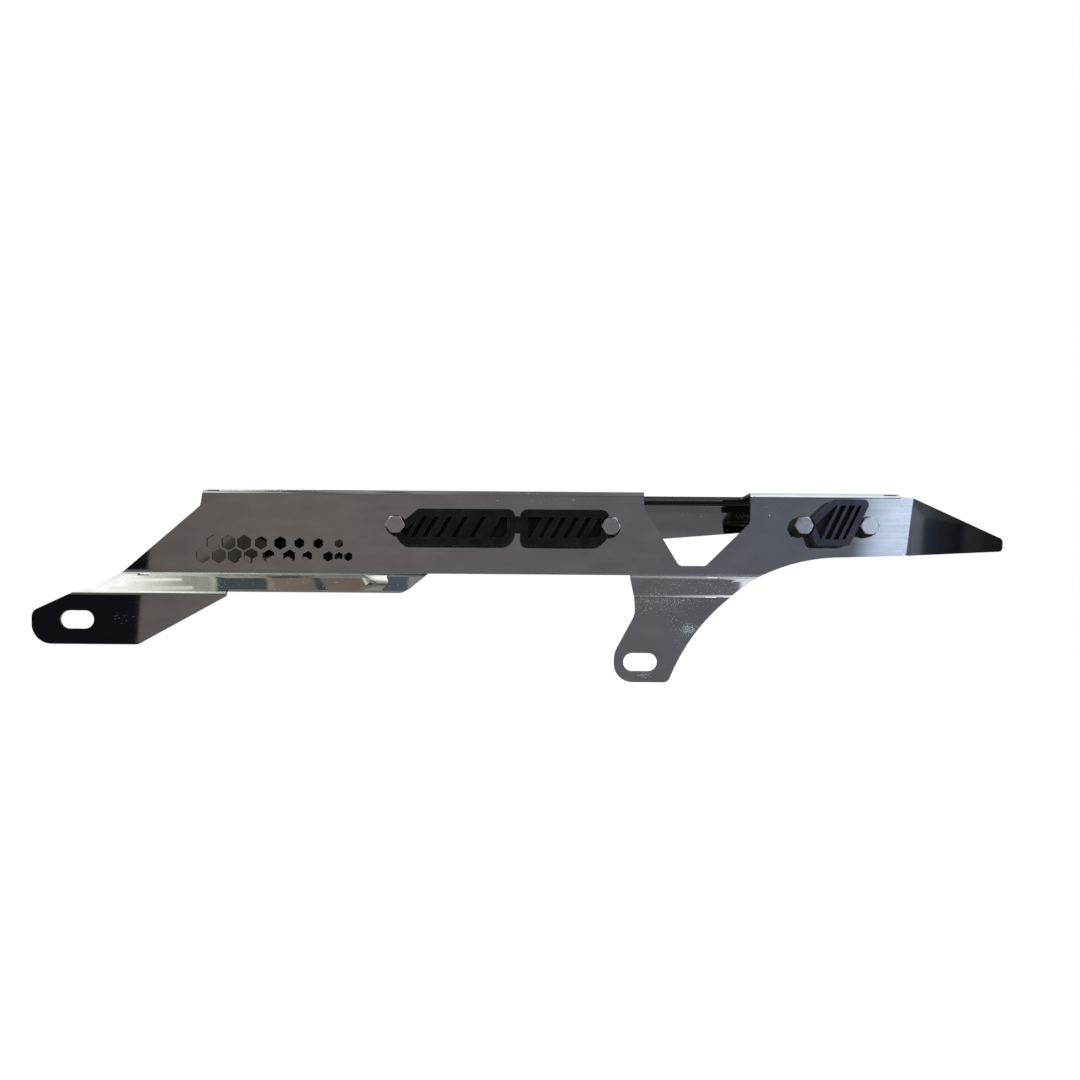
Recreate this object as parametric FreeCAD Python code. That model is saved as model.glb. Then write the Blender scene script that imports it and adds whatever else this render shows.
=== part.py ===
import FreeCAD, Part

import math
import os

from FreeCAD import Vector

# A motorcycle chain guard: one folded stainless sheet that covers the chain's upper run,
# with two moulded badges bolted to its outer wall. Sizes are in millimetres. X runs to the
# rear, Y towards the wheel and Z up. The origin is the middle of the front mounting slot,
# on the face that bears on the swingarm.

# Sheet, and the inside radius of each bend
SHEET = 1.5
BEND_IN = 1.5

# Channel: outer wall, top and inner wall
CHANNEL_WIDTH = 30.0
CHANNEL_START = 55.0
CHANNEL_LENGTH = 334.0
SLOT_TO_TOP = 63.5
WALL_HEIGHT = 41.0

# Step from the outer wall out to the mounting tabs, along a slanted strip
STEP_OUT = 10.0
STEP_DROP = 10.0
STRIP_WIDTH = 11.8
STRIP_END = 163.0
STRIP_END_CUT = 10.4
STRIP_END_ROUNDING = 7.0

# Front ends of the outer wall and the strip, cut back in slanted lines
NOSE_DROP = 8.3
NOSE_LEAN = 1.2
NOSE_AHEAD = 37.7
NOSE_ROUNDING = 3.0
STRIP_NOSE = 6.8
STRIP_NOSE_ABOVE_FOLD = 2.0
STRIP_TOE_AHEAD = 0.6
STRIP_TOE_ABOVE_FOLD = 1.0

# Front end of the top: two lobes with a bay between them
LOBE_OUTER_WIDTH = 7.0
LOBE_INNER_WIDTH = 6.5
LOBE_STAGGER = 2.0
BAY_DEEP = 6.3
BAY_FLARE = 5.0
BAY_ROUNDING = 3.0
LOBE_ROUNDING = 2.0

# Inner wall, which leans towards the outer one and gets lower towards the rear
BACK_LEAN = 6.0
BACK_DEEP = 41.0
BACK_SHALLOW = 10.5
BACK_POINT_AHEAD = 29.0
BACK_ROUNDING = 2.5

# Mounting slots
SLOT_LENGTH = 16.0
SLOT_HEIGHT = 8.5

# Front tab, around the front slot
TAB_AHEAD = 21.2
TAB_BELOW = 11.5
TAB_SHOULDER = 3.8
TAB_LOW_BACK = 28.2
TAB_TOP_BACK = 69.5
TAB_TOP_ROUNDING = 4.0
TAB_TOE_ROUNDING = 9.5
TAB_HEEL_ROUNDING = 2.0

# Rear foot, whose slot lies behind and below the front one
FOOT_SLOT_BACK = 263.6
FOOT_SLOT_DOWN = 17.9
FOOT_AHEAD = 12.2
FOOT_BELOW = 9.4
FOOT_HIP_UP = 4.0
FOOT_NECK_UP = 22.4
FOOT_NECK_AHEAD = 2.4
FOOT_NECK_LEAN = 1.2
FOOT_TOE_ROUNDING = 8.5
FOOT_HIP_ROUNDING = 12.0
FOOT_NECK_ROUNDING = 8.0

# Clearance arc around the rear sprocket, from the foot's heel up to the tail's lower edge
SPROCKET_RADIUS = 92.0
FOOT_HEEL = 13.0
HEEL_ROUNDING = 3.0
SLOT_TO_ARC_TOP = 32.8

# Opening for the shock absorber: a notch in the top and a window in the outer wall
NOTCH_START = 266.4
NOTCH_LENGTH = 51.0
NOTCH_DEPTH = 15.0
NOTCH_ROUNDING = 2.0
WINDOW_DEEP = 35.5
WINDOW_FRONT_DROP = 7.7
WINDOW_REAR_DROP = 14.5
WINDOW_FLOOR_START = 16.9
WINDOW_FLOOR_LENGTH = 12.9
WINDOW_ROUNDING = 3.0

# Tail, bent in towards the wheel along a slanted fold
TAIL_ABOVE_ARC = 1.0
TAIL_FOLD_BACK = 4.2
TAIL_FOLD_SLANT = 7.0
TAIL_FOLD_ANGLE = 20.0
TAIL_STEP_DOWN = 1.5
TAIL_SHOULDER_DROP = 2.3
TAIL_LENGTH = 58.8
TAIL_TIP_LIFT = 3.9
TAIL_TIP_HEIGHT = 6.1
TAIL_TIP_ROUNDING = 2.4
RELIEF_RADIUS = 0.9

# Narrow slits along the bends, which keep each bend on its line near its ends
SLIT_LENGTH = 5.5
SLIT_HEIGHT = 0.8
TOP_SLIT_IN = 2.0
STRIP_SLIT_BACK = 24.6
FOOT_SLIT_BACK = 33.0
FOOT_SLIT_STAGGER = 3.0

# Hexagon holes in the outer wall: width across flats, then places behind the first hole
HEX_START = 55.3
HEX_BELOW_TOP = 32.2
HEX_ROW_RISE = 6.2
HEX_UPPER_ROW = (
    (6.6, (4.9, 12.2, 19.6)),
    (5.7, (27.7, 36.9)),
    (4.6, (46.0, 55.1)),
    (3.9, (65.0,)),
)
HEX_LOWER_ROW = (
    (6.6, (0.0, 7.6, 15.2, 22.8)),
    (5.7, (31.3, 41.2)),
    (4.6, (49.9, 59.8)),
    (3.9, (64.9, 69.5)),
)

# Slanted slots in the top
VENT_COUNT = 8
VENT_START = 92.0
VENT_PITCH = 11.6
VENT_WIDTH = 6.0
VENT_FROM_WALL = 6.0
VENT_REACH = 16.5
VENT_SLANT = 30.0

# Badge screws: M5 hexagon bolts, washers and nuts
BOLT_DIAMETER = 5.0
BOLT_LENGTH = 12.0
HEX_FLATS = 8.0
HEAD_HEIGHT = 3.5
NUT_HEIGHT = 4.0
WASHER_DIAMETER = 10.0
WASHER_HEIGHT = 1.0
HOLE_CLEARANCE = 0.25
THREAD_CLEARANCE = 0.1
CORNER_CUT_ANGLE = 30.0

# Badges: a base plate on the wall, with ears under the bolt heads, and a face plate on it
BADGE_BASE = 3.0
BADGE_FACE = 4.0
EAR_RADIUS = 4.9
EAR_NECK = 5.0
EAR_REACH = 10.0
HEAD_CLEARANCE = 0.3
BOLTS_BELOW_TOP = 17.5

# Long badge: two fields joined by a neck
LONG_BOLT_START = 148.0
LONG_BELOW_BOLTS = 9.5
LONG_HEIGHT = 17.1
LONG_START_AHEAD = 1.1
LONG_END_AHEAD = 1.1
LONG_NOSE_UP = 7.0
LONG_NOSE_TOP = 12.2
LONG_NOSE_LOW = 3.9
FRONT_FIELD_LENGTH = 57.7
REAR_FIELD_LENGTH = 41.9
FIELD_GAP = 2.4
NECK_UP = 7.2
NECK_HEIGHT = 6.6
LONG_RIM = 3.7
LONG_HEEL_ROUNDING = 7.0
LONG_CORNER_ROUNDING = 3.5
LONG_NOSE_ROUNDING = 2.0
LONG_BAR_SLANT = 30.0
LONG_BAR_GAP = 2.4
FRONT_BAR_COUNT = 6
FRONT_BAR_WIDTH = 2.0
FRONT_BAR_GROWTH = 1.0
REAR_BAR_COUNT = 5
REAR_BAR_WIDTH = 3.4

# Short badge: one leaning field, a little behind the middle of the wall's rear stretch
SHORT_BADGE_SHIFT = 3.4
SHORT_BADGE_UP = 1.0
SHORT_BOLT_PITCH = 31.0
SHORT_BELOW_BOLTS = 9.4
SHORT_HEIGHT = 21.8
SHORT_LOW_START = 5.6
SHORT_LOW_LENGTH = 15.5
SHORT_TOP_START = 13.6
SHORT_TOP_LENGTH = 18.0
SHORT_NOSE_BACK = 1.6
SHORT_NOSE_UP = 10.4
SHORT_RIM = 2.8
SHORT_ROUNDING = 2.5
SHORT_BAR_SLANT = 25.7
SHORT_BAR_COUNT = 4
SHORT_BAR_WIDTH = 1.4
SHORT_BAR_GAP = 2.7

# Places that follow from the sizes above
WALL_OUT = STEP_OUT - SHEET
WALL_IN = STEP_OUT
BACK_OUT = WALL_OUT + CHANNEL_WIDTH
TOP_Z = SLOT_TO_TOP
BEND_OUT = BEND_IN + SHEET
FOLD_Z = TOP_Z - WALL_HEIGHT
LOW_FOLD_Z = FOLD_Z - STEP_DROP
STEP_ANGLE = math.atan2(STEP_OUT, STEP_DROP)
WALL_EDGE_Z = FOLD_Z + (BEND_IN + SHEET / 2) * math.tan(STEP_ANGLE / 2)
CHANNEL_END = CHANNEL_START + CHANNEL_LENGTH
FRONT_END = -TAB_AHEAD - SLOT_LENGTH
FOOT_BOTTOM = -FOOT_SLOT_DOWN - FOOT_BELOW
ARC_TOP = SLOT_TO_ARC_TOP
TAIL_LOW = ARC_TOP + TAIL_ABOVE_ARC
AXLE_DOWN = SPROCKET_RADIUS - ARC_TOP
HEEL_REACH = math.sqrt(SPROCKET_RADIUS**2 - (AXLE_DOWN + FOOT_BOTTOM) ** 2)
AXLE_BACK = FOOT_SLOT_BACK + FOOT_HEEL + HEEL_REACH
NOTCH_END = NOTCH_START + NOTCH_LENGTH
LONG_BOLT_Z = TOP_Z - BOLTS_BELOW_TOP
SHORT_BOLT_Z = LONG_BOLT_Z + SHORT_BADGE_UP
LONG_LENGTH = FRONT_FIELD_LENGTH + FIELD_GAP + REAR_FIELD_LENGTH
LONG_BOLT_PITCH = LONG_LENGTH - LONG_START_AHEAD + LONG_END_AHEAD
REAR_STRETCH = CHANNEL_END - NOTCH_END
SHORT_BOLT_START = NOTCH_END + (REAR_STRETCH - SHORT_BOLT_PITCH) / 2 + SHORT_BADGE_SHIFT
BASE_OUT = WALL_OUT - BADGE_BASE
FACE_OUT = BASE_OUT - BADGE_FACE
CUT_PAST = 1.0

# Turns of a hexagon about its axis: corners fore and aft, or corners up and down
CORNERS_LEVEL = 0.0
CORNERS_UPRIGHT = 30.0


def corner_arc(before, corner, after, radius):
    """The start, middle and end of the tangent arc that rounds a corner."""
    back = (before - corner).normalize()
    ahead = (after - corner).normalize()
    half = back.getAngle(ahead) / 2
    reach = radius / math.tan(half)
    middle_way = (back + ahead).normalize()
    middle = corner + middle_way * (radius / math.sin(half) - radius)
    return corner + back * reach, middle, corner + ahead * reach


def rounded_wire(corners):
    """A closed wire through (point, radius) corners, with straight sides between them."""
    knots = []
    for i, (point, radius) in enumerate(corners):
        if radius > 0:
            after = corners[(i + 1) % len(corners)][0]
            knots.append(corner_arc(corners[i - 1][0], point, after, radius))
        else:
            knots.append((point, None, point))
    edges = []
    for i, (start, middle, end) in enumerate(knots):
        next_start = knots[(i + 1) % len(knots)][0]
        if middle is not None:
            edges.append(Part.Arc(start, middle, end).toShape())
        if (next_start - end).Length > 1e-6:
            edges.append(Part.LineSegment(end, next_start).toShape())
    return Part.Wire(edges)


def side_face(corners, y):
    """A face drawn from the side, through (x, z, radius) corners."""
    return Part.Face(rounded_wire([(Vector(x, y, z), r) for x, z, r in corners]))


def side_plate(corners, y_from, y_to):
    return side_face(corners, y_from).extrude(Vector(0, y_to - y_from, 0))


def top_plate(corners, z_from, z_to):
    """A plate drawn from above, through (x, y, radius) corners."""
    wire = rounded_wire([(Vector(x, y, z_from), r) for x, y, r in corners])
    return Part.Face(wire).extrude(Vector(0, 0, z_to - z_from))


def rod(x, y, z, radius, length):
    """A round bar along Y that starts at the given point."""
    return Part.makeCylinder(radius, length, Vector(x, y, z), Vector(0, 1, 0))


def slanted_bar(x, width, z_from, z_to, slant, y_from, y_to):
    """A bar that leans to the rear as it rises."""
    lean = (z_to - z_from) * math.tan(math.radians(slant))
    low = ((x, z_from, 0), (x + width, z_from, 0))
    high = ((x + width + lean, z_to, 0), (x + lean, z_to, 0))
    return side_plate(low + high, y_from, y_to)


def folded_sheet(points, x_from, length):
    """A sheet folded along X, whose middle line goes through these (y, z) corners."""
    line = [Vector(x_from, y, z) for y, z in points]
    ways = [(b - a).normalize() for a, b in zip(line, line[1:])]
    ways = [ways[0]] + ways + [ways[-1]]
    faces = []
    for side in (1, -1):
        for i, point in enumerate(line):
            before = Vector(side, 0, 0).cross(ways[i])
            after = Vector(side, 0, 0).cross(ways[i + 1])
            shift = (before + after) * (SHEET / 2 / (1 + before.dot(after)))
            turn = ways[i].cross(ways[i + 1]).x * side
            radius = BEND_IN + SHEET / 2 - math.copysign(SHEET / 2, turn)
            faces.append((point + shift, radius if turn else 0))
    half = len(line)
    wire = rounded_wire(faces[:half] + faces[half:][::-1])
    return Part.Face(wire).extrude(Vector(length, 0, 0))


# The folded sheet
def channel_blank():
    """The whole fold at full length, before its ends, edges and holes are cut."""
    half = SHEET / 2
    top = TOP_Z - half
    lean = BACK_DEEP * math.tan(math.radians(BACK_LEAN))
    points = (
        (BACK_OUT - half - lean, top - BACK_DEEP),
        (BACK_OUT - half, top),
        (WALL_OUT + half, top),
        (WALL_OUT + half, FOLD_Z),
        (-half, LOW_FOLD_Z),
        (-half, FOOT_BOTTOM - CUT_PAST),
    )
    return folded_sheet(points, FRONT_END, CHANNEL_END - FRONT_END)


def strip_free_edge():
    """Where the strip's free edge starts, in the middle of the sheet."""
    down = Vector(0, -math.sin(STEP_ANGLE), -math.cos(STEP_ANGLE))
    return Vector(TAB_TOP_BACK, WALL_OUT + SHEET / 2, FOLD_Z) + down * STRIP_WIDTH


def outer_outline():
    """Outer wall, strip, front tab and foot, as they are seen from the side."""
    nose = CHANNEL_START - NOSE_LEAN
    foot_edge = FOOT_SLOT_BACK - FOOT_AHEAD
    foot_neck = FOOT_SLOT_BACK - FOOT_NECK_AHEAD
    below_fold = LOW_FOLD_Z - CUT_PAST
    free_edge = strip_free_edge().z - SHEET / 2 * math.sin(STEP_ANGLE)
    corners = (
        (CHANNEL_START, TOP_Z + CUT_PAST, 0),
        (CHANNEL_START, TOP_Z, 0),
        (nose, TOP_Z - NOSE_DROP, NOSE_ROUNDING),
        (CHANNEL_START - NOSE_AHEAD, WALL_EDGE_Z, 0),
        (STRIP_NOSE, LOW_FOLD_Z + STRIP_NOSE_ABOVE_FOLD, 0),
        (-STRIP_TOE_AHEAD, LOW_FOLD_Z + STRIP_TOE_ABOVE_FOLD, NOSE_ROUNDING),
        (-TAB_AHEAD, TAB_SHOULDER, TAB_TOP_ROUNDING),
        (-TAB_AHEAD, -TAB_BELOW, TAB_TOE_ROUNDING),
        (TAB_LOW_BACK, -TAB_BELOW, TAB_HEEL_ROUNDING),
        (TAB_TOP_BACK, below_fold, 0),
        (TAB_TOP_BACK, free_edge, 0),
        (STRIP_END - STRIP_END_CUT, free_edge, STRIP_END_ROUNDING),
        (STRIP_END, WALL_EDGE_Z, 0),
        (foot_neck - FOOT_NECK_LEAN, WALL_EDGE_Z, 0),
        (foot_neck, FOOT_NECK_UP - FOOT_SLOT_DOWN, FOOT_NECK_ROUNDING),
        (foot_edge, FOOT_HIP_UP - FOOT_SLOT_DOWN, FOOT_HIP_ROUNDING),
        (foot_edge, FOOT_BOTTOM, FOOT_TOE_ROUNDING),
        (AXLE_BACK, FOOT_BOTTOM, 0),
        (AXLE_BACK, ARC_TOP, 0),
        (CHANNEL_END, TAIL_LOW, 0),
        (CHANNEL_END, TOP_Z + CUT_PAST, 0),
    )
    return side_plate(corners, -SHEET - CUT_PAST, WALL_OUT + BEND_OUT)


def top_outline():
    """The top's shape: a bay between two lobes at the front, square at the rear."""
    outer = WALL_OUT + BEND_OUT
    inner = BACK_OUT - BEND_OUT
    bay = CHANNEL_START + BAY_DEEP
    stagger = CHANNEL_START + LOBE_STAGGER
    corners = (
        (CHANNEL_START, outer - CUT_PAST, 0),
        (CHANNEL_START, WALL_OUT + LOBE_OUTER_WIDTH, LOBE_ROUNDING),
        (bay, WALL_OUT + LOBE_OUTER_WIDTH + BAY_FLARE, BAY_ROUNDING),
        (bay, BACK_OUT - LOBE_INNER_WIDTH - BAY_FLARE, BAY_ROUNDING),
        (stagger, BACK_OUT - LOBE_INNER_WIDTH, LOBE_ROUNDING),
        (stagger, inner + CUT_PAST, 0),
        (CHANNEL_END, inner + CUT_PAST, 0),
        (CHANNEL_END, outer - CUT_PAST, 0),
    )
    return top_plate(corners, TOP_Z - SHEET - CUT_PAST, TOP_Z + CUT_PAST)


def inner_outline():
    """The inner wall's shape: pointed at the front, lower at the rear."""
    stagger = CHANNEL_START + LOBE_STAGGER
    point = CHANNEL_START - BACK_POINT_AHEAD
    corners = (
        (stagger, TOP_Z + CUT_PAST, 0),
        (stagger, TOP_Z - NOSE_DROP, NOSE_ROUNDING),
        (point, TOP_Z - BACK_DEEP, BACK_ROUNDING),
        (CHANNEL_END, TOP_Z - BACK_SHALLOW, 0),
        (CHANNEL_END, TOP_Z + CUT_PAST, 0),
    )
    lean = BACK_DEEP * math.tan(math.radians(BACK_LEAN))
    return side_plate(corners, BACK_OUT - BEND_OUT - lean, BACK_OUT + CUT_PAST)


def strip_edge_cutter():
    """Squares off the strip's free lower edge, between the tab and the strip's end."""
    length = STRIP_END - TAB_TOP_BACK
    plank = Part.makeBox(length, 2 * STEP_OUT, STEP_DROP)
    plank.translate(Vector(0, -STEP_OUT, -STEP_DROP))
    plank.rotate(Vector(0, 0, 0), Vector(1, 0, 0), -math.degrees(STEP_ANGLE))
    plank.translate(strip_free_edge())
    return plank


def shock_opening():
    """The window in the outer wall and the notch in the top."""
    floor = TOP_Z - WINDOW_DEEP
    floor_start = NOTCH_START + WINDOW_FLOOR_START
    above = TOP_Z + CUT_PAST
    window = (
        (NOTCH_START, above, 0),
        (NOTCH_START, TOP_Z - WINDOW_FRONT_DROP, WINDOW_ROUNDING),
        (floor_start, floor, WINDOW_ROUNDING),
        (floor_start + WINDOW_FLOOR_LENGTH, floor, WINDOW_ROUNDING),
        (NOTCH_END, TOP_Z - WINDOW_REAR_DROP, NOTCH_ROUNDING),
        (NOTCH_END, above, 0),
    )
    notch = (
        (NOTCH_START, WALL_OUT - CUT_PAST, 0),
        (NOTCH_START, WALL_OUT + NOTCH_DEPTH, NOTCH_ROUNDING),
        (NOTCH_END, WALL_OUT + NOTCH_DEPTH, NOTCH_ROUNDING),
        (NOTCH_END, WALL_OUT - CUT_PAST, 0),
    )
    wall_cut = side_plate(window, WALL_OUT - CUT_PAST, WALL_OUT + BEND_OUT)
    return wall_cut.fuse(top_plate(notch, TOP_Z - BEND_OUT, above))


def mounting_slot(x, z):
    """A slot along X through a tab."""
    long = SLOT_LENGTH / 2
    tall = SLOT_HEIGHT / 2
    corners = [
        (x - long, z - tall, tall),
        (x + long, z - tall, tall),
        (x + long, z + tall, tall),
        (x - long, z + tall, tall),
    ]
    return side_plate(corners, -SHEET - CUT_PAST, CUT_PAST)


def hexagon_corners(x, z, flats, turn):
    radius = flats / math.sqrt(3)
    turns = [math.radians(60 * i + turn) for i in range(6)]
    return [(x + radius * math.cos(t), z + radius * math.sin(t), 0) for t in turns]


def hexagon_holes():
    holes = []
    low = TOP_Z - HEX_BELOW_TOP
    for row, z in ((HEX_UPPER_ROW, low + HEX_ROW_RISE), (HEX_LOWER_ROW, low)):
        for flats, places in row:
            for place in places:
                corners = hexagon_corners(HEX_START + place, z, flats, CORNERS_UPRIGHT)
                holes.append(side_plate(corners, WALL_OUT - CUT_PAST, WALL_IN + CUT_PAST))
    return holes


def vents():
    lean = VENT_REACH * math.tan(math.radians(VENT_SLANT))
    near = WALL_OUT + VENT_FROM_WALL
    far = near + VENT_REACH
    slots = []
    for i in range(VENT_COUNT):
        x = VENT_START + i * VENT_PITCH
        corners = (
            (x, near, 0),
            (x + VENT_WIDTH, near, 0),
            (x + VENT_WIDTH + lean, far, 0),
            (x + lean, far, 0),
        )
        slots.append(top_plate(corners, TOP_Z - SHEET - CUT_PAST, TOP_Z + CUT_PAST))
    return slots


def tail():
    """The outer wall's flat end past the top, its bend, and the tail bent inwards."""
    shoulder = TOP_Z - TAIL_SHOULDER_DROP
    lean = (shoulder - TAIL_LOW) * math.tan(math.radians(TAIL_FOLD_SLANT))
    low_x = CHANNEL_END + TAIL_FOLD_BACK - lean / 2
    top_x = low_x + lean
    overlap = CHANNEL_END - CUT_PAST
    stub = (
        (overlap, TAIL_LOW, 0),
        (low_x, TAIL_LOW, 0),
        (top_x, shoulder, 0),
        (CHANNEL_END, TOP_Z - TAIL_STEP_DOWN, 0),
        (CHANNEL_END, TOP_Z - BEND_OUT, 0),
        (overlap, TOP_Z - BEND_OUT, 0),
    )
    tip_x = CHANNEL_END + TAIL_FOLD_BACK + TAIL_LENGTH
    tip_low = TAIL_LOW + TAIL_TIP_LIFT
    flat_tail = (
        (low_x, TAIL_LOW, 0),
        (tip_x, tip_low, TAIL_TIP_ROUNDING),
        (tip_x, tip_low + TAIL_TIP_HEIGHT, TAIL_TIP_ROUNDING),
        (top_x, shoulder, 0),
    )
    hinge = Vector(low_x, WALL_IN + BEND_IN, TAIL_LOW)
    up = Vector(lean, 0, shoulder - TAIL_LOW)
    across = Vector(0, SHEET, 0)
    foot = Vector(low_x, WALL_OUT, TAIL_LOW)
    section = Part.makePolygon([foot, foot + up, foot + up + across, foot + across, foot])
    bend = Part.Face(section).revolve(hinge, up, TAIL_FOLD_ANGLE)
    blade = side_plate(flat_tail, WALL_OUT, WALL_IN)
    blade.rotate(hinge, up, TAIL_FOLD_ANGLE)
    relief = rod(low_x, WALL_OUT - CUT_PAST, TAIL_LOW, RELIEF_RADIUS, SHEET + 2 * CUT_PAST)
    return side_plate(stub, WALL_OUT, WALL_IN).fuse([bend, blade]).cut(relief)


def badge_bolt_places():
    """The name of each badge bolt's place, its X and its Z."""
    return (
        ("long_badge_front", LONG_BOLT_START, LONG_BOLT_Z),
        ("long_badge_rear", LONG_BOLT_START + LONG_BOLT_PITCH, LONG_BOLT_Z),
        ("short_badge_front", SHORT_BOLT_START, SHORT_BOLT_Z),
        ("short_badge_rear", SHORT_BOLT_START + SHORT_BOLT_PITCH, SHORT_BOLT_Z),
    )


def bolt_hole(x, z, y_from, depth):
    start = y_from - CUT_PAST
    return rod(x, start, z, BOLT_DIAMETER / 2 + HOLE_CLEARANCE, depth + 2 * CUT_PAST)


def bend_slit(x, y, z, tilt):
    """A slit along X through a bend around the given point, square to the sheet there."""
    slit = Part.makeBox(SLIT_LENGTH, 2 * BEND_OUT, SLIT_HEIGHT)
    slit.translate(Vector(0, -BEND_OUT, -SLIT_HEIGHT / 2))
    slit.rotate(Vector(0, 0, 0), Vector(1, 0, 0), tilt)
    slit.translate(Vector(x, y, z))
    return slit


def bend_slits():
    """Slits at both ends of the top's bend, on the strip's bend and on the foot's two."""
    step_tilt = math.degrees(STEP_ANGLE) / 2
    low_slit = FOOT_SLOT_BACK + FOOT_SLIT_BACK - SLIT_LENGTH / 2
    high_slit = low_slit + FOOT_SLIT_STAGGER
    inset = BEND_OUT - (BEND_OUT - SHEET / 2) * math.sqrt(0.5)
    rear = CHANNEL_END - TOP_SLIT_IN - SLIT_LENGTH
    return [
        bend_slit(CHANNEL_START + TOP_SLIT_IN, WALL_OUT + inset, TOP_Z - inset, -45),
        bend_slit(rear, WALL_OUT + inset, TOP_Z - inset, -45),
        bend_slit(STRIP_SLIT_BACK, WALL_OUT + SHEET / 2, FOLD_Z, step_tilt),
        bend_slit(high_slit, WALL_OUT + SHEET / 2, FOLD_Z, step_tilt),
        bend_slit(low_slit, -SHEET / 2, LOW_FOLD_Z, step_tilt),
    ]


def edge_near(shape, place):
    """The edge whose middle lies nearest to a place."""
    return min(shape.Edges, key=lambda edge: edge.CenterOfMass.distanceToPoint(place))


def rounded_heel(shell):
    """Rounds the corner between the foot's bottom and the sprocket's arc."""
    heel = Vector(FOOT_SLOT_BACK + FOOT_HEEL, -SHEET / 2, FOOT_BOTTOM)
    return shell.makeFillet(HEEL_ROUNDING, [edge_near(shell, heel)])


def guard_shell():
    outline = outer_outline().fuse([top_outline(), inner_outline()])
    arc_length = WALL_IN + SHEET + 2 * CUT_PAST
    arc = rod(AXLE_BACK, -SHEET - CUT_PAST, -AXLE_DOWN, SPROCKET_RADIUS, arc_length)
    shell = channel_blank().common(outline).cut([arc, strip_edge_cutter()])
    shell = rounded_heel(shell).fuse(tail())
    holes = [shock_opening(), mounting_slot(0, 0)]
    holes.append(mounting_slot(FOOT_SLOT_BACK, -FOOT_SLOT_DOWN))
    holes += hexagon_holes() + vents() + bend_slits()
    holes += [bolt_hole(x, z, WALL_OUT, SHEET) for name, x, z in badge_bolt_places()]
    return shell.cut(holes).removeSplitter()


# Badge screws
def corner_cutter(x, y, z, height, way):
    """A six-sided pyramid stump that cuts the corners off a hexagon bar's end at y."""
    spread = height / math.tan(math.radians(CORNER_CUT_ANGLE))
    rings = []
    for depth, flats in ((0, HEX_FLATS), (height, HEX_FLATS + 2 * spread)):
        corners = hexagon_corners(x, z, flats, CORNERS_UPRIGHT)
        rings.append(rounded_wire([(Vector(px, y + way * depth, pz), r) for px, pz, r in corners]))
    return Part.makeLoft(rings, True, True)


def hexagon_bar(x, y, z, height, both_ends):
    """A hexagon bar along Y with its corners cut at the outer end, or at both."""
    bar = side_plate(hexagon_corners(x, z, HEX_FLATS, CORNERS_LEVEL), y, y + height)
    bar = bar.common(corner_cutter(x, y, z, height, 1))
    if both_ends:
        bar = bar.common(corner_cutter(x, y + height, z, height, -1))
    return bar


def badge_bolt(x, z):
    head = hexagon_bar(x, BASE_OUT - HEAD_HEIGHT, z, HEAD_HEIGHT, False)
    shank = rod(x, BASE_OUT, z, BOLT_DIAMETER / 2, BOLT_LENGTH)
    return head.fuse(shank).removeSplitter()


def badge_washer(x, z):
    ring = rod(x, WALL_IN, z, WASHER_DIAMETER / 2, WASHER_HEIGHT)
    return ring.cut(bolt_hole(x, z, WALL_IN, WASHER_HEIGHT))


def badge_nut(x, z):
    seat = WALL_IN + WASHER_HEIGHT
    nut = hexagon_bar(x, seat, z, NUT_HEIGHT, True)
    return nut.cut(rod(x, seat, z, BOLT_DIAMETER / 2 + THREAD_CLEARANCE, NUT_HEIGHT))


# Badges
def badge_ear(x, z, way):
    """A round ear under a bolt head, with a neck that runs into the badge's plate."""
    ring = rod(x, BASE_OUT, z, EAR_RADIUS, BADGE_BASE)
    corner = Vector(min(x, x + way * EAR_REACH), BASE_OUT, z - EAR_NECK / 2)
    return ring.fuse(Part.makeBox(EAR_REACH, BADGE_BASE, EAR_NECK, corner))


def badge_base(fields, neck, bolts):
    """A flat plate of the badge's outline, with a drilled ear under each bolt head."""
    ears = [badge_ear(x, z, way) for (x, z), way in zip(bolts, (1, -1))]
    plates = [field.extrude(Vector(0, BADGE_BASE, 0)) for field in fields]
    solid = plates[0].multiFuse(plates[1:] + neck + ears)
    return solid.cut([bolt_hole(x, z, BASE_OUT, BADGE_BASE) for x, z in bolts]).removeSplitter()


def badge_face(fields, neck, rim, bars, bolts):
    """A rim around each field, with bars across it, cut clear of the bolt heads."""
    whole = [field.extrude(Vector(0, BADGE_FACE, 0)) for field in fields]
    inner = [f.makeOffset2D(-rim).extrude(Vector(0, BADGE_FACE, 0)) for f in fields]
    rims = whole[0].multiFuse(whole[1:] + neck).cut(inner)
    ribs = [bar.common(plate) for plate, group in zip(whole, bars) for bar in group]
    head_room = HEX_FLATS / math.sqrt(3) + HEAD_CLEARANCE
    heads = [rod(x, FACE_OUT, z, head_room, BADGE_FACE) for x, z in bolts]
    return rims.fuse(ribs).cut(heads).removeSplitter()


def long_badge_fields(y):
    low = LONG_BOLT_Z - LONG_BELOW_BOLTS
    high = low + LONG_HEIGHT
    front = LONG_BOLT_START - LONG_START_AHEAD
    front_end = front + FRONT_FIELD_LENGTH
    rear = front_end + FIELD_GAP
    rear_end = rear + REAR_FIELD_LENGTH
    front_field = (
        (front + LONG_NOSE_LOW, low, LONG_CORNER_ROUNDING),
        (front_end, low, LONG_HEEL_ROUNDING),
        (front_end, high, LONG_CORNER_ROUNDING),
        (front + LONG_NOSE_TOP, high, LONG_NOSE_ROUNDING),
        (front, low + LONG_NOSE_UP, LONG_NOSE_ROUNDING),
    )
    rear_field = (
        (rear, low, LONG_CORNER_ROUNDING),
        (rear_end, low, LONG_HEEL_ROUNDING),
        (rear_end, high, LONG_CORNER_ROUNDING),
        (rear, high, LONG_CORNER_ROUNDING),
    )
    return [side_face(front_field, y), side_face(rear_field, y)]


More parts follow.
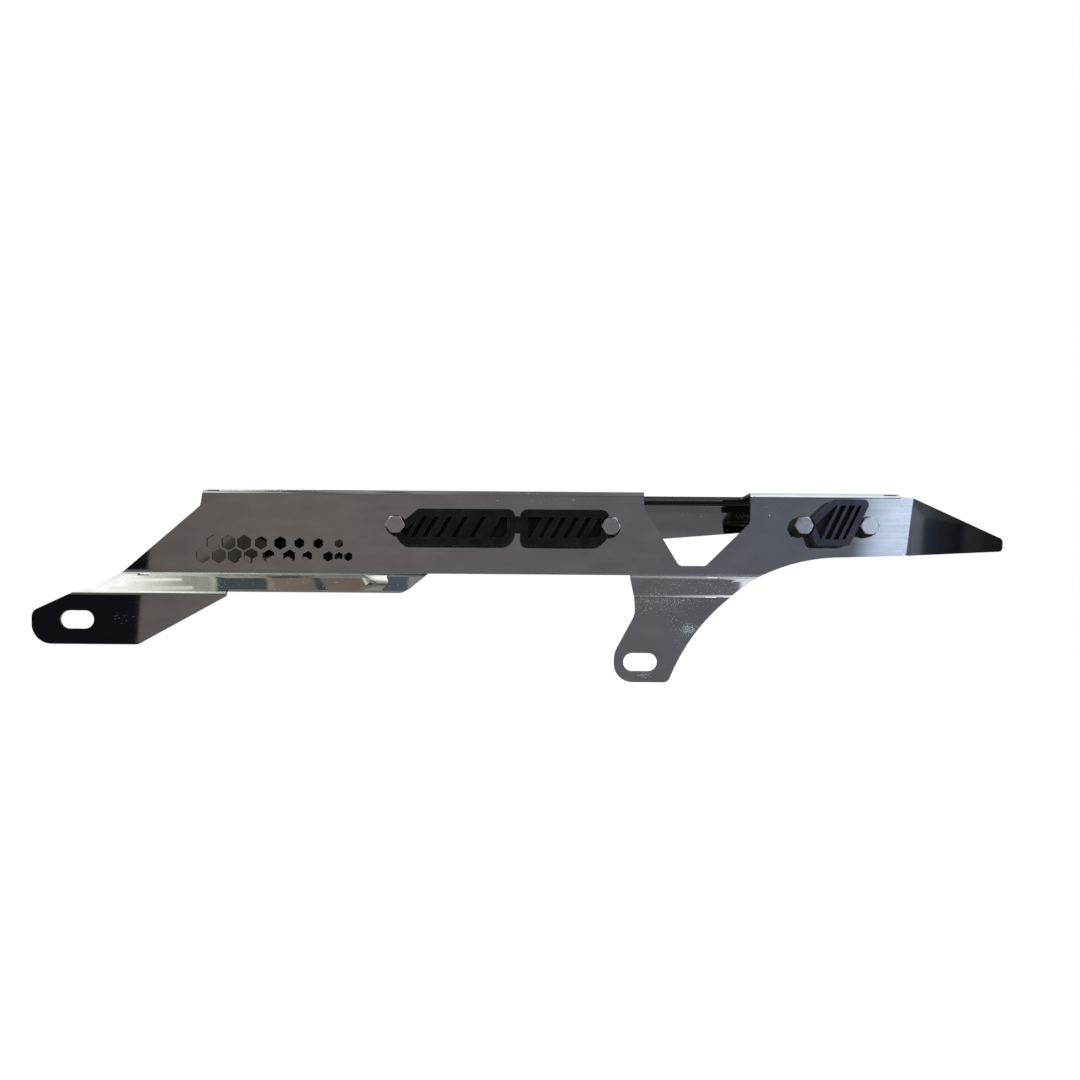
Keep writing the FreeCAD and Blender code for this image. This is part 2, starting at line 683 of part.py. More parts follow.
def long_badge_neck(y, depth):
    front_end = LONG_BOLT_START - LONG_START_AHEAD + FRONT_FIELD_LENGTH
    length = FIELD_GAP + 2 * CUT_PAST
    corner = Vector(front_end - CUT_PAST, y, LONG_BOLT_Z - LONG_BELOW_BOLTS + NECK_UP)
    return [Part.makeBox(length, depth, NECK_HEIGHT, corner)]


def bar_row(middle, widths, gap, low, height, slant):
    """Slanted bars side by side, centred on a place along X."""
    lean = height * math.tan(math.radians(slant))
    x = middle - (sum(widths) + gap * (len(widths) - 1) + lean) / 2
    bars = []
    for width in widths:
        bars.append(slanted_bar(x, width, low, low + height, slant, FACE_OUT, BASE_OUT))
        x += width + gap
    return bars


def long_badge_bars():
    low = LONG_BOLT_Z - LONG_BELOW_BOLTS
    front = LONG_BOLT_START - LONG_START_AHEAD
    rear = front + FRONT_FIELD_LENGTH + FIELD_GAP
    grown = [FRONT_BAR_WIDTH + FRONT_BAR_GROWTH * i for i in range(FRONT_BAR_COUNT)]
    even = [REAR_BAR_WIDTH] * REAR_BAR_COUNT
    shape = (LONG_BAR_GAP, low, LONG_HEIGHT, LONG_BAR_SLANT)
    front_row = bar_row(front + FRONT_FIELD_LENGTH / 2, grown, *shape)
    rear_row = bar_row(rear + REAR_FIELD_LENGTH / 2, even, *shape)
    return [front_row, rear_row]


def short_badge_fields(y):
    low = SHORT_BOLT_Z - SHORT_BELOW_BOLTS
    high = low + SHORT_HEIGHT
    start = SHORT_BOLT_START
    field = (
        (start + SHORT_LOW_START, low, SHORT_ROUNDING),
        (start + SHORT_LOW_START + SHORT_LOW_LENGTH, low, SHORT_ROUNDING),
        (start + SHORT_TOP_START + SHORT_TOP_LENGTH, high, SHORT_ROUNDING),
        (start + SHORT_TOP_START, high, SHORT_ROUNDING),
        (start + SHORT_NOSE_BACK, low + SHORT_NOSE_UP, SHORT_ROUNDING),
    )
    return [side_face(field, y)]


def short_badge_bars():
    low = SHORT_BOLT_Z - SHORT_BELOW_BOLTS
    middle = SHORT_BOLT_START + (SHORT_LOW_START + SHORT_TOP_START + SHORT_TOP_LENGTH) / 2
    widths = [SHORT_BAR_WIDTH] * SHORT_BAR_COUNT
    return [bar_row(middle, widths, SHORT_BAR_GAP, low, SHORT_HEIGHT, SHORT_BAR_SLANT)]


def long_badge():
    bolts = [(x, z) for name, x, z in badge_bolt_places()[:2]]
    base_neck = long_badge_neck(BASE_OUT, BADGE_BASE)
    face_neck = long_badge_neck(FACE_OUT, BADGE_FACE)
    base = badge_base(long_badge_fields(BASE_OUT), base_neck, bolts)
    fields = long_badge_fields(FACE_OUT)
    return base, badge_face(fields, face_neck, LONG_RIM, long_badge_bars(), bolts)


def short_badge():
    bolts = [(x, z) for name, x, z in badge_bolt_places()[2:]]
    base = badge_base(short_badge_fields(BASE_OUT), [], bolts)
    fields = short_badge_fields(FACE_OUT)
    return base, badge_face(fields, [], SHORT_RIM, short_badge_bars(), bolts)


nodes = {"guard_shell": guard_shell()}
nodes["long_badge_base"], nodes["long_badge_face"] = long_badge()
nodes["short_badge_base"], nodes["short_badge_face"] = short_badge()
for place, x, z in badge_bolt_places():
    nodes[place + "_bolt"] = badge_bolt(x, z)
    nodes[place + "_washer"] = badge_washer(x, z)
    nodes[place + "_nut"] = badge_nut(x, z)

os.makedirs("parts", exist_ok=True)
for name, shape in nodes.items():
    print(name, shape.isValid(), len(shape.Solids), round(shape.Volume, 1))
    shape.exportStep("parts/" + name + ".step")
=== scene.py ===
import math

import bmesh
import bpy
from mathutils import Matrix, Vector


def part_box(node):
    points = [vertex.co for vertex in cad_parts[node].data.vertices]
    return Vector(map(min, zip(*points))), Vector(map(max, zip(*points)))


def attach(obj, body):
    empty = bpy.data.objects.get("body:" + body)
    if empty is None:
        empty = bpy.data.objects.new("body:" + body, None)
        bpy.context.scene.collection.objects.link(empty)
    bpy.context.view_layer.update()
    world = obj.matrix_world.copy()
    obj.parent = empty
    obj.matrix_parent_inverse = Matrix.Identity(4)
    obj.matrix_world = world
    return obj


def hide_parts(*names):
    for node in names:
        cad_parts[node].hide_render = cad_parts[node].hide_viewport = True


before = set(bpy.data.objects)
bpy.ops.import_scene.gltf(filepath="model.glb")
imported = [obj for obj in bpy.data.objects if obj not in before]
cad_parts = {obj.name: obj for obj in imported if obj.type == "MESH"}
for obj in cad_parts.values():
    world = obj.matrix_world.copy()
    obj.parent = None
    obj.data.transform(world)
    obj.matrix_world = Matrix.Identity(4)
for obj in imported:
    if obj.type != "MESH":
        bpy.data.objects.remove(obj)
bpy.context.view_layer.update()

# The folded sheet. One stainless blank, cut by laser, polished and then folded on a press
# brake into outer wall, top and inner wall, with a step out to the front tab and the rear
# foot. It bolts to the swingarm through its two slots.
MM = 0.001
SHEET_THICKNESS = 1.5 * MM
CUT_EDGE_BREAK = 0.12 * MM
CUT_EDGE_ANGLE = math.radians(40)
CREASE_ANGLE = math.radians(50)
FLAT_WITHIN = math.radians(0.5)
MERGE_WITHIN = 0.001 * MM
PARALLEL = 0.99


def colour(red, green, blue):
    """A colour read as 0 to 255 on screen, as the linear values that a socket takes."""
    screen = [value / 255 for value in (red, green, blue)]
    linear = [c / 12.92 if c <= 0.04045 else ((c + 0.055) / 1.055) ** 2.4 for c in screen]
    return (*linear, 1.0)


def merged_copy(node):
    """The node's own shape as a bmesh, with its loose triangles joined into flat faces."""
    bm = bmesh.new()
    bm.from_mesh(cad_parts[node].data)
    bmesh.ops.remove_doubles(bm, verts=bm.verts, dist=MERGE_WITHIN)
    bmesh.ops.dissolve_limit(bm, angle_limit=FLAT_WITHIN, verts=bm.verts, edges=bm.edges)
    return bm


def sharp_edges(edges, sharper_than):
    """The edges whose two faces turn by more than an angle."""
    return [e for e in edges if e.is_manifold and e.calc_face_angle() > sharper_than]


def apart(first, second):
    """How far two parallel edges lie apart, or zero where they aren't parallel."""
    way = (first.verts[1].co - first.verts[0].co).normalized()
    other = (second.verts[1].co - second.verts[0].co).normalized()
    if abs(way.dot(other)) < PARALLEL:
        return 0.0
    gap = second.verts[0].co - first.verts[0].co
    return (gap - way * gap.dot(way)).length


def mark_cut_faces(bm, thickness, sharper_than):
    """Marks the faces that the laser left, narrow ones as wide as the sheet is thick."""
    cut_mark = bm.faces.layers.float.new("cut")
    for face in bm.faces:
        rims = sharp_edges(face.edges, sharper_than)
        longest = max(edge.calc_length() for edge in face.edges)
        if len(rims) < 2 or face.calc_area() > 4 * thickness * longest:
            continue
        widths = [apart(rims[0], rim) for rim in rims[1:]] + [apart(rims[1], rims[-1])]
        if any(abs(width - thickness) < thickness / 10 for width in widths):
            face[cut_mark] = 1.0


def break_edges(bm, width, sharper_than, segments=1):
    """Bevels every edge that turns by more than an angle, and marks the new faces as edge."""
    edge_mark = bm.faces.layers.float.new("edge")
    cut_mark = bm.faces.layers.float.get("cut")
    edges = sharp_edges(bm.edges, sharper_than)
    bevelled = bmesh.ops.bevel(
        bm, geom=edges, offset=width, offset_type="OFFSET", segments=segments, profile=0.5,
        affect="EDGES", clamp_overlap=True, material=-1,
    )
    for face in bevelled["faces"]:
        face[edge_mark] = 1.0
        if cut_mark:
            face[cut_mark] = 0.0


def finished_piece(bm, name, material, node, crease=CREASE_ANGLE):
    """Makes the object, gives it its material and slot, and lets it stand for its node."""
    mesh = bpy.data.meshes.new(name)
    bm.to_mesh(mesh)
    bm.free()
    mesh.shade_smooth()
    mesh.set_sharp_from_angle(angle=crease)
    mesh.materials.append(material)
    piece = bpy.data.objects.new(name, mesh)
    bpy.context.scene.collection.objects.link(piece)
    flat_faces = piece.modifiers.new("flat_faces", "WEIGHTED_NORMAL")
    flat_faces.keep_sharp = True
    flat_faces.weight = 100
    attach(piece, "root")
    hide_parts(node)
    return piece


def add_node(tree, kind, values=(), **settings):
    """A node with its properties set by name and its input values by label."""
    node = tree.nodes.new(kind)
    for key, value in settings.items():
        setattr(node, key, value)
    for label, value in dict(values).items():
        node.inputs[label].default_value = value
    return node


def feed(tree, value, socket):
    """Links a socket into another, or sets it where the value is a plain number."""
    if isinstance(value, bpy.types.NodeSocket):
        tree.links.new(value, socket)
    else:
        socket.default_value = value


def maths(tree, operation, *inputs):
    """A Math node whose inputs are sockets or numbers."""
    node = add_node(tree, "ShaderNodeMath", operation=operation)
    for value, socket in zip(inputs, node.inputs):
        feed(tree, value, socket)
    return node.outputs[0]


def vector_maths(tree, operation, first, second=None):
    """A Vector Math node, whose length is a value and whose other results are vectors."""
    node = add_node(tree, "ShaderNodeVectorMath", operation=operation)
    feed(tree, first, node.inputs[0])
    if second is not None:
        feed(tree, second, node.inputs[1])
    return node.outputs["Value" if operation == "LENGTH" else "Vector"]


def ranged(tree, value, low, high, to_low=0.0, to_high=1.0):
    """Maps a range of a value onto another, clamped at both ends."""
    node = add_node(tree, "ShaderNodeMapRange", {"From Min": low, "From Max": high})
    for label, number in (("Value", value), ("To Min", to_low), ("To Max", to_high)):
        feed(tree, number, node.inputs[label])
    return node.outputs["Result"]


def mixed(tree, share, first, second, blend="MIX"):
    """A colour mix of sockets or colours, by a share from 0 to 1."""
    node = add_node(tree, "ShaderNodeMix", data_type="RGBA", blend_type=blend)
    for place, value in ((0, share), (6, first), (7, second)):
        feed(tree, value, node.inputs[place])
    return node.outputs[2]


def noise(tree, position, scale, detail=2.0, roughness=0.5):
    """Noise over a position, with its own scale along each axis, per metre."""
    node = add_node(tree, "ShaderNodeTexNoise", {"Scale": 1.0})
    feed(tree, vector_maths(tree, "MULTIPLY", position, scale), node.inputs["Vector"])
    feed(tree, detail, node.inputs["Detail"])
    feed(tree, roughness, node.inputs["Roughness"])
    return node.outputs["Fac"]


def bumped(tree, height, strength, distance, below=None):
    """A Bump node over a height, on top of another normal if one is given."""
    bump = add_node(tree, "ShaderNodeBump", {"Strength": strength, "Distance": distance})
    tree.links.new(height, bump.inputs["Height"])
    if below is not None:
        tree.links.new(below, bump.inputs["Normal"])
    return bump.outputs["Normal"]


def new_group(name, inputs, outputs):
    """An empty shader node group, with its start and its end."""
    group = bpy.data.node_groups.new(name, "ShaderNodeTree")
    for label, kind, value in inputs:
        group.interface.new_socket(label, in_out="INPUT", socket_type=kind).default_value = value
    for label in outputs:
        group.interface.new_socket(label, in_out="OUTPUT", socket_type="NodeSocketFloat")
    return group, group.nodes.new("NodeGroupInput"), group.nodes.new("NodeGroupOutput")


def placed(tree, group, **inputs):
    """A group node with its inputs linked or set by name."""
    node = add_node(tree, "ShaderNodeGroup", node_tree=group)
    for label, value in inputs.items():
        feed(tree, value, node.inputs[label])
    return node


def new_material(name, base, metallic, roughness):
    """A Principled material, with its tree, its shader and its Object coordinates."""
    material = bpy.data.materials.new(name)
    material.use_nodes = True
    material.diffuse_color = base
    tree = material.node_tree
    shader = tree.nodes["Principled BSDF"]
    shader.inputs["Base Color"].default_value = base
    shader.inputs["Metallic"].default_value = metallic
    shader.inputs["Roughness"].default_value = roughness
    return material, tree, shader, add_node(tree, "ShaderNodeTexCoord").outputs["Object"]


def patch_group(name, full_within):
    """A group for marks inside a soft-edged ellipsoid, and what its grains are made from."""
    group, start, end = new_group(
        name,
        (
            ("Position", "NodeSocketVector", (0, 0, 0)),
            ("Centre", "NodeSocketVector", (0, 0, 0)),
            ("Reach", "NodeSocketVector", (1, 1, 1)),
            ("Grain", "NodeSocketVector", (1, 1, 1)),
            ("Cover", "NodeSocketFloat", 0.5),
        ),
        ("Mask",),
    )
    offset = vector_maths(group, "SUBTRACT", start.outputs["Position"], start.outputs["Centre"])
    share = vector_maths(group, "DIVIDE", offset, start.outputs["Reach"])
    inside = ranged(group, vector_maths(group, "LENGTH", share), 1.0, full_within)
    grains = vector_maths(group, "DIVIDE", start.outputs["Position"], start.outputs["Grain"])
    return group, inside, grains, start.outputs["Cover"], end.inputs["Mask"]


# A grain shows where its noise, the cover and its place in the patch add up to this much
GRAIN_FROM = 1.2
GRAIN_FULLY = 1.26
MORE_GRAIN_INSIDE = 0.25


def rubbed_patch_group():
    """A rubbed place, as a cloud of fine grains that thins out towards its rim."""
    group, inside, place, cover, mask = patch_group("Rubbed patch", full_within=0.3)
    level = maths(group, "ADD", noise(group, place, scale=(1, 1, 1)), cover)
    level = maths(group, "MULTIPLY_ADD", inside, MORE_GRAIN_INSIDE, level)
    grains = ranged(group, level, GRAIN_FROM, GRAIN_FULLY)
    group.links.new(maths(group, "MULTIPLY", inside, grains), mask)
    return group


# The radius of a pit, as a share of its cell: the least, and how much larger it may be
SMALLEST_PIT = 0.12
PIT_SPREAD = 0.3


def pits_group():
    """Small pits, each in a cell of its own, in as many of the cells as the cover says."""
    group, inside, place, cover, mask = patch_group("Pits", full_within=0.4)
    cells = add_node(group, "ShaderNodeTexVoronoi", {"Scale": 1.0, "Randomness": 1.0})
    group.links.new(place, cells.inputs["Vector"])
    chance = add_node(group, "ShaderNodeSeparateColor")
    group.links.new(cells.outputs["Color"], chance.inputs[0])
    taken = maths(group, "LESS_THAN", chance.outputs[0], maths(group, "MULTIPLY", inside, cover))
    size = maths(group, "MULTIPLY_ADD", chance.outputs[1], PIT_SPREAD, SMALLEST_PIT)
    dot = ranged(group, maths(group, "DIVIDE", cells.outputs["Distance"], size), 1.0, 0.6)
    group.links.new(maths(group, "MULTIPLY", taken, dot), mask)
    return group


# How often each pattern of the polishing changes along each axis, per metre
FINE_LINES = (45, 2600, 2600)
COARSE_LINES = (10, 600, 600)
SLOW_WAVES = (9, 30, 30)
SHARE_OF_FINE_LINES = 0.6


def polishing_group():
    """Fine lines along X from the polishing belt, and slow waves in the sheet."""
    group, start, end = new_group(
        "Polishing", (("Position", "NodeSocketVector", (0, 0, 0)),), ("Lines", "Waves")
    )
    place = start.outputs["Position"]
    fine = maths(group, "MULTIPLY", noise(group, place, FINE_LINES), SHARE_OF_FINE_LINES)
    coarse = noise(group, place, COARSE_LINES)
    lines = maths(group, "MULTIPLY_ADD", coarse, 1 - SHARE_OF_FINE_LINES, fine)
    group.links.new(lines, end.inputs["Lines"])
    group.links.new(noise(group, place, SLOW_WAVES, detail=1.0), end.inputs["Waves"])
    return group


def uneven_surface_group():
    """Soft patches in a surface, as a value and as the tone that a colour is multiplied by."""
    group, start, end = new_group(
        "Uneven surface",
        (
            ("Position", "NodeSocketVector", (0, 0, 0)),
            ("Scale", "NodeSocketVector", (100, 100, 100)),
            ("Detail", "NodeSocketFloat", 3.0),
            ("Roughness", "NodeSocketFloat", 0.5),
            ("Darkest", "NodeSocketFloat", 0.9),
            ("Lightest", "NodeSocketFloat", 1.1),
        ),
        ("Patches", "Tone"),
    )
    asked = start.outputs
    patches = noise(group, asked["Position"], asked["Scale"], asked["Detail"], asked["Roughness"])
    group.links.new(patches, end.inputs["Patches"])
    tone = ranged(group, patches, 0.3, 0.7, asked["Darkest"], asked["Lightest"])
    group.links.new(tone, end.inputs["Tone"])
    return group


def pale_edges_group():
    """How pale each edge is made, less on some patches and more on others: wear on the plastic, a
    painted highlight on the steel.
    """
    group, start, end = new_group(
        "Pale edges",
        (
            ("Edge", "NodeSocketFloat", 0.0),
            ("Patches", "NodeSocketFloat", 0.5),
            ("Least", "NodeSocketFloat", 0.3),
            ("Most", "NodeSocketFloat", 1.0),
        ),
        ("Mask",),
    )
    asked = start.outputs
    wear = ranged(group, asked["Patches"], 0.35, 0.6, asked["Least"], asked["Most"])
    group.links.new(maths(group, "MULTIPLY", asked["Edge"], wear), end.inputs["Mask"])
    return group


rubbed_patch = rubbed_patch_group()
pits = pits_group()
polishing = polishing_group()
uneven_surface = uneven_surface_group()
pale_edges = pale_edges_group()

# Rubbed places in the steel, in millimetres: centre, reach, size of the grains, cover, strength
RUBBED_PLACES = (
    ((286.5, -1, -2.7), (6.5, 6, 4), (0.9, 0.9, 0.6), 0.53, 0.8),
    ((265, -1, -24.2), (5.5, 6, 2.4), (1.6, 1.6, 0.5), 0.5, 0.6),
    ((86, 14, 63.5), (36, 10, 2), (1.4, 1.4, 0.5), 0.45, 0.5),
    ((230, 20, 63.5), (160, 30, 2), (1.2, 1.2, 0.5), 0.3, 0.3),
)
# Pitted places, in millimetres: centre, reach, size of the cells, share with a pit, strength
PITTED_PLACES = (
    ((270, -1, 9.0), (32, 8, 6.5), (0.55, 0.55, 0.5), 0.85, 1.0),
    ((276, -1, 10.6), (34, 4, 1.6), (0.6, 0.6, 0.5), 0.9, 1.0),
    ((296, 3, 17), (42, 9, 7), (0.5, 0.6, 0.45), 0.2, 0.4),
    ((278.5, -1, 1.6), (3.8, 6, 3.6), (0.6, 0.6, 0.6), 0.9, 1.0),
    ((286.5, -1, -2.7), (10, 6, 5.5), (0.6, 0.6, 0.6), 0.6, 1.0),
    ((282, -1, -9.6), (2.4, 6, 4.4), (0.6, 0.6, 0.6), 0.7, 1.0),
    ((42, 3, 18), (34, 9, 7), (0.45, 0.5, 0.4), 0.5, 0.55),
    ((110, 3, 18), (60, 9, 7), (0.9, 0.9, 0.6), 0.05, 0.35),
    ((220, 9, 58.6), (70, 5, 1.0), (1.4, 1.4, 0.7), 0.3, 0.5),
    ((318, 9, 57), (22, 5, 6), (1.2, 1.2, 1.0), 0.1, 0.8),
    ((296, 36, 56.5), (14, 6, 2.2), (1.3, 1.3, 1.0), 0.3, 0.9),
    ((24, -1, 1), (10, 6, 3), (1.1, 1.1, 0.6), 0.25, 0.2),
    ((385, 9, 50), (26, 6, 18), (0.5, 0.6, 0.35), 0.3, 0.1),
    ((86, 14, 63.5), (36, 10, 2), (1.0, 1.0, 0.6), 0.3, 0.8),
    ((200, 10, 63.5), (30, 5, 2), (1.0, 1.0, 0.6), 0.25, 0.8),
)
STEEL = colour(188, 184, 180)
CUT_STEEL = colour(112, 108, 102)
# Painted highlight: the pale colour that every broken edge of the steel is mixed towards.
EDGE_GLINT_STEEL = colour(226, 226, 224)
RUBBED_STEEL = colour(246, 248, 250)
RUBBED_COVER = 0.9
BRUSHED_TONES = (0.86, 1.1)
POLISHED = 0.03
BRUSHED = 0.11
LINES_ROUGHER = (-0.01, 0.015)
EDGE_GLINT_ROUGHER = 0.5
CUT_ROUGHER = 0.4
MARKS_ROUGHER = 0.5
BRUSHED_FROM = 362 * MM
BRUSHED_TO = 394 * MM
BRUSHED_FADE_IN = 16 * MM
BRUSHED_FADE_OUT = 1 * MM
TOP_FACE_FROM = 63.1 * MM
TOP_FACE_ROUGHNESS = 0.22
FOLD_FROM = 21.6 * MM
FOLD_TO = 24.0 * MM
FOLD_FADE = 0.5 * MM
FOLD_ROUGHNESS = 0.3
# How much paler every broken edge of the steel is painted, the same on all edges: a painted
# highlight.
EDGE_GLINT_SHARE = 0.3
DENT_FROM = 137 * MM
DENT_TO = 170 * MM
DENT_FADE_IN = 10 * MM
DENT_FADE_OUT = 6 * MM
DENT_WAVE = 9 * MM
DENT_CRUMPLES = (70, 110, 110)
DENT_DEPTH = 2.6 * MM
DENT_BOTTOM = 13 * MM
DENT_TOP = 22.5 * MM
DENT_OFF_WALL = (8.1 * MM, 8.45 * MM)


def marks_on_steel(tree, place):
    """The strongest of all rubbed and pitted places at each point, from 0 to 1."""
    marks = 0.0
    for group, rows in ((rubbed_patch, RUBBED_PLACES), (pits, PITTED_PLACES)):
        for *sizes, cover, strength in rows:
            centre, reach, grain = [[value * MM for value in size] for size in sizes]
            patch = placed(
                tree, group, Position=place, Centre=centre, Reach=reach, Grain=grain, Cover=cover
            )
            mark = maths(tree, "MULTIPLY", patch.outputs["Mask"], strength)
            marks = maths(tree, "MAXIMUM", mark, marks)
    return marks


def faded_band(tree, along, start, end, fade_in, fade_out):
    """One from a start to an end along an axis, with a fade after both."""
    starts = ranged(tree, along, start, start + fade_in)
    ends = ranged(tree, along, end, end + fade_out, 1.0, 0.0)
    return maths(tree, "MULTIPLY", starts, ends)


def dented(tree, along, waves):
    """The strip's rear end is pushed in along its lower bend, and more so further up."""
    uneven = maths(tree, "MULTIPLY_ADD", waves, DENT_WAVE, along.outputs["X"])
    starts = ranged(tree, uneven, DENT_FROM, DENT_FROM + DENT_FADE_IN)
    ends = ranged(tree, along.outputs["X"], DENT_TO, DENT_TO + DENT_FADE_OUT, 1.0, 0.0)
    off_wall = ranged(tree, along.outputs["Y"], *DENT_OFF_WALL, 1.0, 0.0)
    up = ranged(tree, along.outputs["Z"], DENT_BOTTOM, DENT_TOP)
    up = maths(tree, "MULTIPLY", up, maths(tree, "MULTIPLY_ADD", up, 0.7, 0.3))
    place = maths(tree, "MULTIPLY", maths(tree, "MULTIPLY", starts, ends), off_wall)
    return maths(tree, "MULTIPLY", place, up)


def steel_shade(tree, tone, lines, brushed, cut, pale_edge_share, marks):
    """A little uneven, streaked where it is brushed, dull where cut, with a painted highlight on
    its broken edges.
    """
    shade = mixed(tree, 1.0, STEEL, tone, "MULTIPLY")
    streaks = ranged(tree, lines, 0.35, 0.65, *BRUSHED_TONES)
    shade = mixed(tree, brushed, shade, mixed(tree, 1.0, shade, streaks, "MULTIPLY"))
    shade = mixed(tree, cut, shade, CUT_STEEL)
    # Painted highlight: the broken edges are mixed towards a pale steel.
    shade = mixed(tree, pale_edge_share, shade, EDGE_GLINT_STEEL)
    return mixed(tree, maths(tree, "MULTIPLY", marks, RUBBED_COVER), shade, RUBBED_STEEL)


def steel_roughness(tree, height, lines, brushed, cut, pale_edge_share, marks):
    """A mirror finish that is duller on the top, in the fold, and where brushed or marked."""
    top_face = ranged(tree, height, TOP_FACE_FROM, TOP_FACE_FROM + 0.2 * MM)
    fold = faded_band(tree, height, FOLD_FROM, FOLD_TO, FOLD_FADE, FOLD_FADE)
    roughness = maths(tree, "ADD", ranged(tree, lines, 0.3, 0.7, *LINES_ROUGHER), POLISHED)
    for mask, rougher in (
        (brushed, BRUSHED - POLISHED),
        (fold, FOLD_ROUGHNESS),
        (top_face, TOP_FACE_ROUGHNESS - POLISHED),
        (pale_edge_share, EDGE_GLINT_ROUGHER),
        (cut, CUT_ROUGHER),
        (marks, MARKS_ROUGHER),
    ):
        roughness = maths(tree, "MULTIPLY_ADD", mask, rougher, roughness)
    return roughness


def steel_relief(tree, place, along, polish, brushed, marks):
    """The dent, slow waves, polishing lines that are deeper where brushed, and the marks."""
    dent = dented(tree, along, noise(tree, place, DENT_CRUMPLES, detail=0.0))
    normal = bumped(tree, dent, strength=1.0, distance=DENT_DEPTH)
    waves = polish.outputs["Waves"]
    normal = bumped(tree, waves, strength=0.04, distance=0.3 * MM, below=normal)
    lines = maths(tree, "MULTIPLY", polish.outputs["Lines"], maths(tree, "ADD", brushed, 0.12))
    normal = bumped(tree, lines, strength=0.25, distance=0.02 * MM, below=normal)
    return bumped(tree, marks, strength=1.0, distance=0.12 * MM, below=normal)


def polished_steel():
    """Polished stainless sheet, with the marks that the guard has."""
    material, tree, shader, place = new_material("polished_stainless", STEEL, 1.0, POLISHED)
    polish = placed(tree, polishing, Position=place)
    lines = polish.outputs["Lines"]
    uneven = placed(
        tree, uneven_surface, Position=place, Scale=(60, 130, 130), Darkest=0.91, Lightest=1.07
    )
    marks = marks_on_steel(tree, place)
    along = add_node(tree, "ShaderNodeSeparateXYZ")
    tree.links.new(place, along.inputs[0])
    brushed = faded_band(
        tree, along.outputs["X"], BRUSHED_FROM, BRUSHED_TO, BRUSHED_FADE_IN, BRUSHED_FADE_OUT
    )
    cut = add_node(tree, "ShaderNodeAttribute", attribute_name="cut").outputs["Fac"]
    edge = add_node(tree, "ShaderNodeAttribute", attribute_name="edge").outputs["Fac"]
    # A painted highlight: every broken edge of the steel is made paler by the same share.
    pale_edge_share = placed(
        tree, pale_edges, Edge=edge, Patches=uneven.outputs["Patches"], Least=EDGE_GLINT_SHARE,
        Most=EDGE_GLINT_SHARE,
    ).outputs["Mask"]
    shade = steel_shade(tree, uneven.outputs["Tone"], lines, brushed, cut, pale_edge_share, marks)
    roughness = steel_roughness(tree, along.outputs["Z"], lines, brushed, cut, pale_edge_share, marks)
    relief = steel_relief(tree, place, along, polish, brushed, marks)
    tree.links.new(shade, shader.inputs["Base Color"])
    tree.links.new(roughness, shader.inputs["Roughness"])
    tree.links.new(relief, shader.inputs["Normal"])
    return material


sheet = merged_copy("guard_shell")
mark_cut_faces(sheet, SHEET_THICKNESS, CUT_EDGE_ANGLE)
break_edges(sheet, CUT_EDGE_BREAK, CUT_EDGE_ANGLE)
finished_piece(sheet, "folded_sheet", polished_steel(), "guard_shell")

# The badge screws. Four M5 hexagon bolts of cold-formed stainless steel, each through an ear
# of a badge and the outer wall, with a stamped washer and a nut inside the channel.
BADGE_BOLTS = ("long_badge_front", "long_badge_rear", "short_badge_front", "short_badge_rear")
FLATS = 8.0 * MM
HEAD_HEIGHT = 3.5 * MM
SHANK_RADIUS = 2.5 * MM
PLAIN_SHANK = 4.0 * MM
THREAD_PITCH = 0.8 * MM
THREAD_DEPTH = 0.42 * MM
THREAD_STEPS = 24
HEXAGON_STEPS = 8
CHAMFER_SLOPE = math.tan(math.radians(30))
CROWN = 0.94
BORE_PLAY = 0.1 * MM
WASHER_EDGE = 0.15 * MM


def ring_of(bm, steps, radius, y):
    """A ring of edges around the Y axis."""
    turn = Matrix.Translation((0, y, 0)) @ Matrix.Rotation(math.radians(90), 4, "X")
    made = bmesh.ops.create_circle(bm, cap_ends=False, segments=steps, radius=radius, matrix=turn)
    return list(dict.fromkeys(edge for vert in made["verts"] for edge in vert.link_edges))


def drawn_out(bm, edges, move):
    """Extrudes a ring, moves each new vertex by a rule, and gives the new ring."""
    made = bmesh.ops.extrude_edge_only(bm, edges=edges)["geom"]
    for vert in made:
        if isinstance(vert, bmesh.types.BMVert):
            vert.co = move(vert.co)
    return [edge for edge in made if isinstance(edge, bmesh.types.BMEdge)]


def to_hexagon(y, way):
    """Moves a ring out to a hexagon's sides, as deep as a 30 degree cone cuts there."""
    def move(co):
        turn = math.atan2(co.z, co.x) % math.radians(60) - math.radians(30)
        reach = FLATS / 2 / math.cos(turn)
        outward = Vector((co.x, 0, co.z)).normalized() * reach
        depth = (reach - CROWN * FLATS / 2) * CHAMFER_SLOPE
        return outward + Vector((0, y + way * depth, 0))
    return move


def to_plane(y):
    """Moves a ring along Y."""
    def move(co):
        return Vector((co.x, y, co.z))
    return move


def to_radius(radius, y):
    """Moves a ring along Y and to a circle."""
    def move(co):
        return Vector((co.x, 0, co.z)).normalized() * radius + Vector((0, y, 0))
    return move


def closed_ring(bm, edges):
    """Fills a ring with one face."""
    bmesh.ops.contextual_create(bm, geom=edges)


def helical_ridge(bm, y_from, length):
    """A thread's ridge, as its profile turned about Y while it moves along."""
    turns = round(length / THREAD_PITCH)
    root = SHANK_RADIUS - THREAD_DEPTH
    profile = ((root, 0.0), (SHANK_RADIUS, 0.45), (SHANK_RADIUS, 0.55), (root, 1.0))
    verts = [bm.verts.new((r, y_from + share * THREAD_PITCH, 0)) for r, share in profile]
    edges = [bm.edges.new(pair) for pair in zip(verts, verts[1:])]
    bmesh.ops.spin(
        bm, geom=verts + edges, cent=(0, 0, 0), axis=(0, 1, 0),
        dvec=(0, THREAD_PITCH / THREAD_STEPS, 0), angle=turns * math.tau,
        steps=turns * THREAD_STEPS, use_merge=False, use_duplicate=False,
    )


